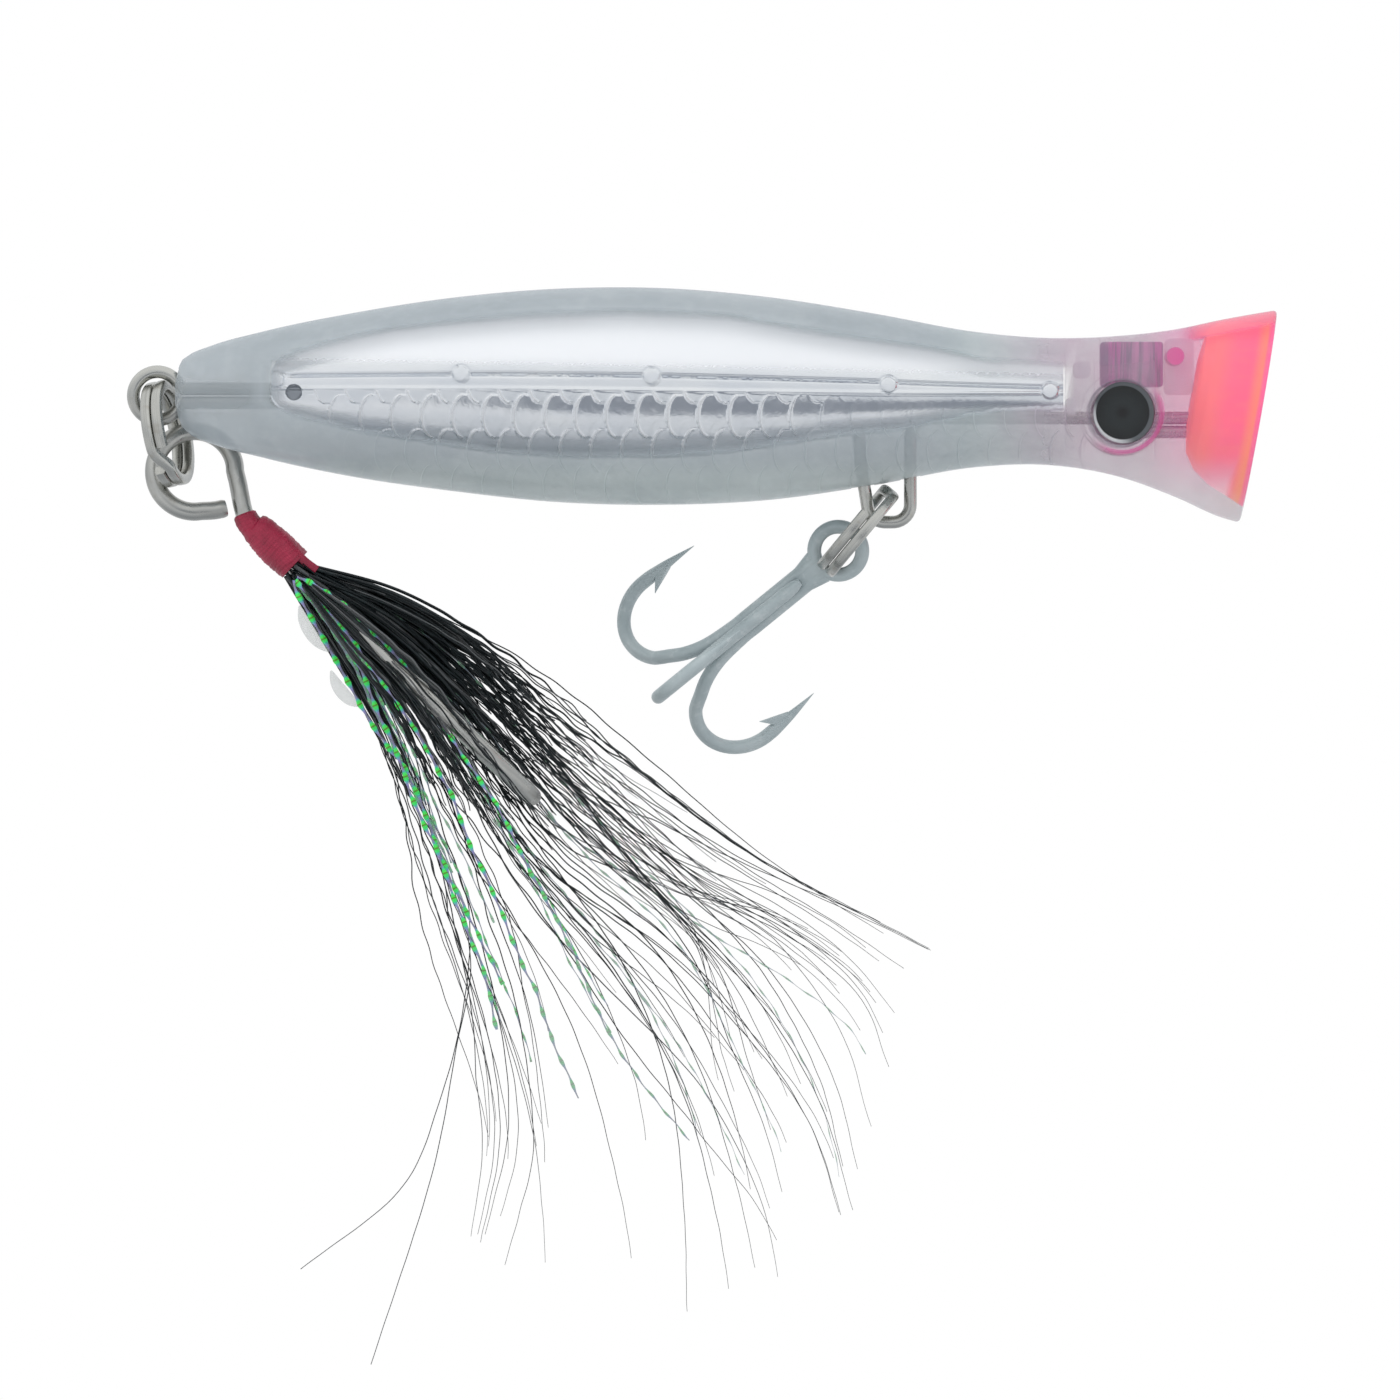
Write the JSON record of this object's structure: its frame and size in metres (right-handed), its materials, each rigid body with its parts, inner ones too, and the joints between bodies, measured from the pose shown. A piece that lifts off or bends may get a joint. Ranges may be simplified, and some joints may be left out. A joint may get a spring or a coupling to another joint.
{
  "type": "topwater popper",
  "caption": "Surface fishing lure with a clear two-half body, cupped slanted face, foil insert, belly treble on a split ring and a dressed single hook at the tail.",
  "frame": {"origin": "middle of the tow eye at the nose", "axes": "+X along the body towards the nose, +Y to the lure's left, +Z towards its back"},
  "size_m": [0.1096, 0.026, 0.1031],
  "materials": {
    "clear_plastic": "clear polished polycarbonate with a coral cup",
    "silver_foil": "bright silver foil with embossed scales",
    "stainless_wire": "drawn stainless wire",
    "lead": "dull cast lead",
    "eye_foil": "printed foil with a silver ring round a dark pupil",
    "eye_resin": "clear domed resin",
    "coated_hook": "matt blue-grey anti-rust coating",
    "tinned_hook": "tinned steel with fine lines along the wire",
    "crimson_thread": "wound crimson thread sealed with varnish",
    "black_hair": "crinkled black hair",
    "green_flash": "twisted translucent film strands with green windows"
  },
  "bodies": {
    "lure_body": {"body_shell_right": "clear_plastic", "body_shell_left": "clear_plastic", "foil_insert_right": "silver_foil", "foil_insert_left": "silver_foil", "through_wire": "stainless_wire", "tail_weight": "lead", "belly_weight": "lead", "eye_foil_right": "eye_foil", "eye_foil_left": "eye_foil", "eye_dome_right": "eye_resin", "eye_dome_left": "eye_resin"},
    "belly_ring": {"belly_split_ring": "stainless_wire"},
    "treble": {"treble_double_hook": "coated_hook", "treble_third_hook": "coated_hook"},
    "tail_ring": {"tail_split_ring": "stainless_wire"},
    "tail_hook": {"tail_hook": "tinned_hook", "thread_wrap": "crimson_thread", "hair_skirt": "black_hair", "flash_skirt": "green_flash"}
  },
  "joints": [
    {"name": "belly_ring_swing", "type": "hinge", "parent": "lure_body", "child": "belly_ring", "pos_m": [-0.0326, 0, -0.00695], "axis": [0, 1, 0], "range_deg": [-65, 20]},
    {"name": "treble_swing", "type": "hinge", "parent": "belly_ring", "child": "treble", "pos_m": [-0.0373, 0.0033, -0.01195], "axis": [0.0879, 0.9936, 0.0714], "range_deg": [-75, 20]},
    {"name": "tail_ring_swing", "type": "hinge", "parent": "lure_body", "child": "tail_ring", "pos_m": [-0.1022, 0, 0.00278], "axis": [0, 1, 0], "range_deg": [-1.5, 140]},
    {"name": "tail_hook_swing", "type": "hinge", "parent": "tail_ring", "child": "tail_hook", "pos_m": [-0.09874, 0.003, -0.00438], "axis": [-0.1791, 0.9659, -0.1868], "range_deg": [-2, 100]}
  ]
}
